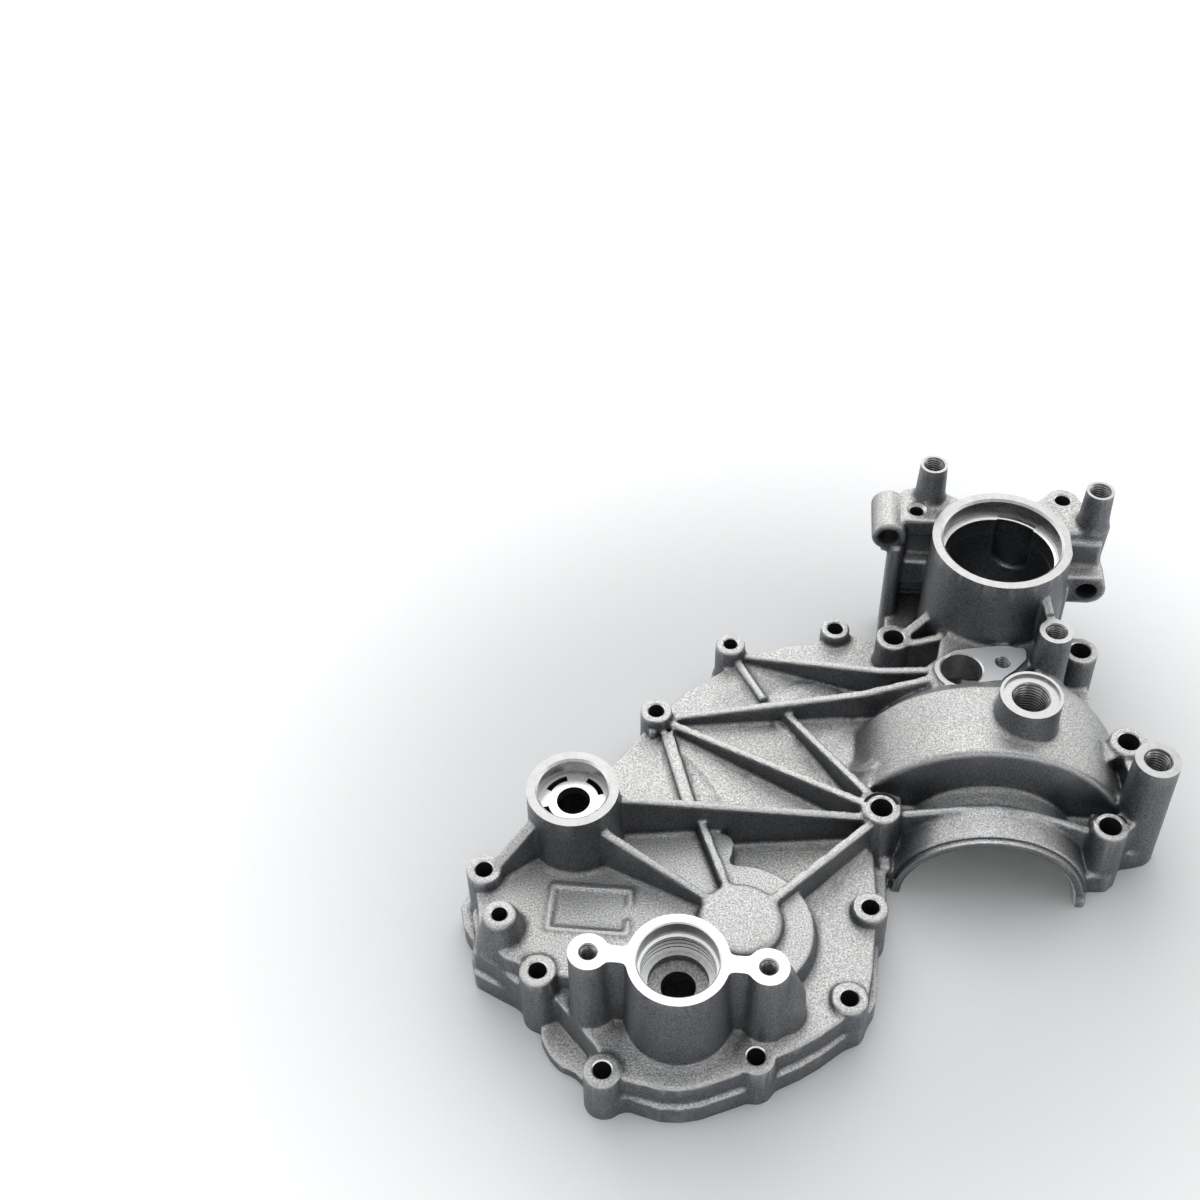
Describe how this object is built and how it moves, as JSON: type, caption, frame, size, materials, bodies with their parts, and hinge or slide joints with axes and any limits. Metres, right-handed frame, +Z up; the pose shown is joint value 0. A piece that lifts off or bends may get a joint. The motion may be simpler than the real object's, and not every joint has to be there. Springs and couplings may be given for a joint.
{
  "type": "gearbox housing",
  "caption": "Cast metal outer half of a small gearbox housing with bolt bosses, bearing rings, a domed shaft seat and a bored tower, open on its flat joint face.",
  "frame": {"origin": "centre of the half round shaft seat, in the plane of the joint face, at the seat's front face", "axes": "+X from the wide plate towards the side boss, across the shaft seat; +Y along the shaft seat axis towards the tower; +Z up, out of the joint face, along all bolt and bearing axes"},
  "size_m": [0.266, 0.2601, 0.091],
  "materials": {
    "cast_aluminium": "grainy as-cast skin with bright machined faces and bores"
  },
  "bodies": {
    "root": {"housing_casting": "cast_aluminium"}
  },
  "joints": []
}
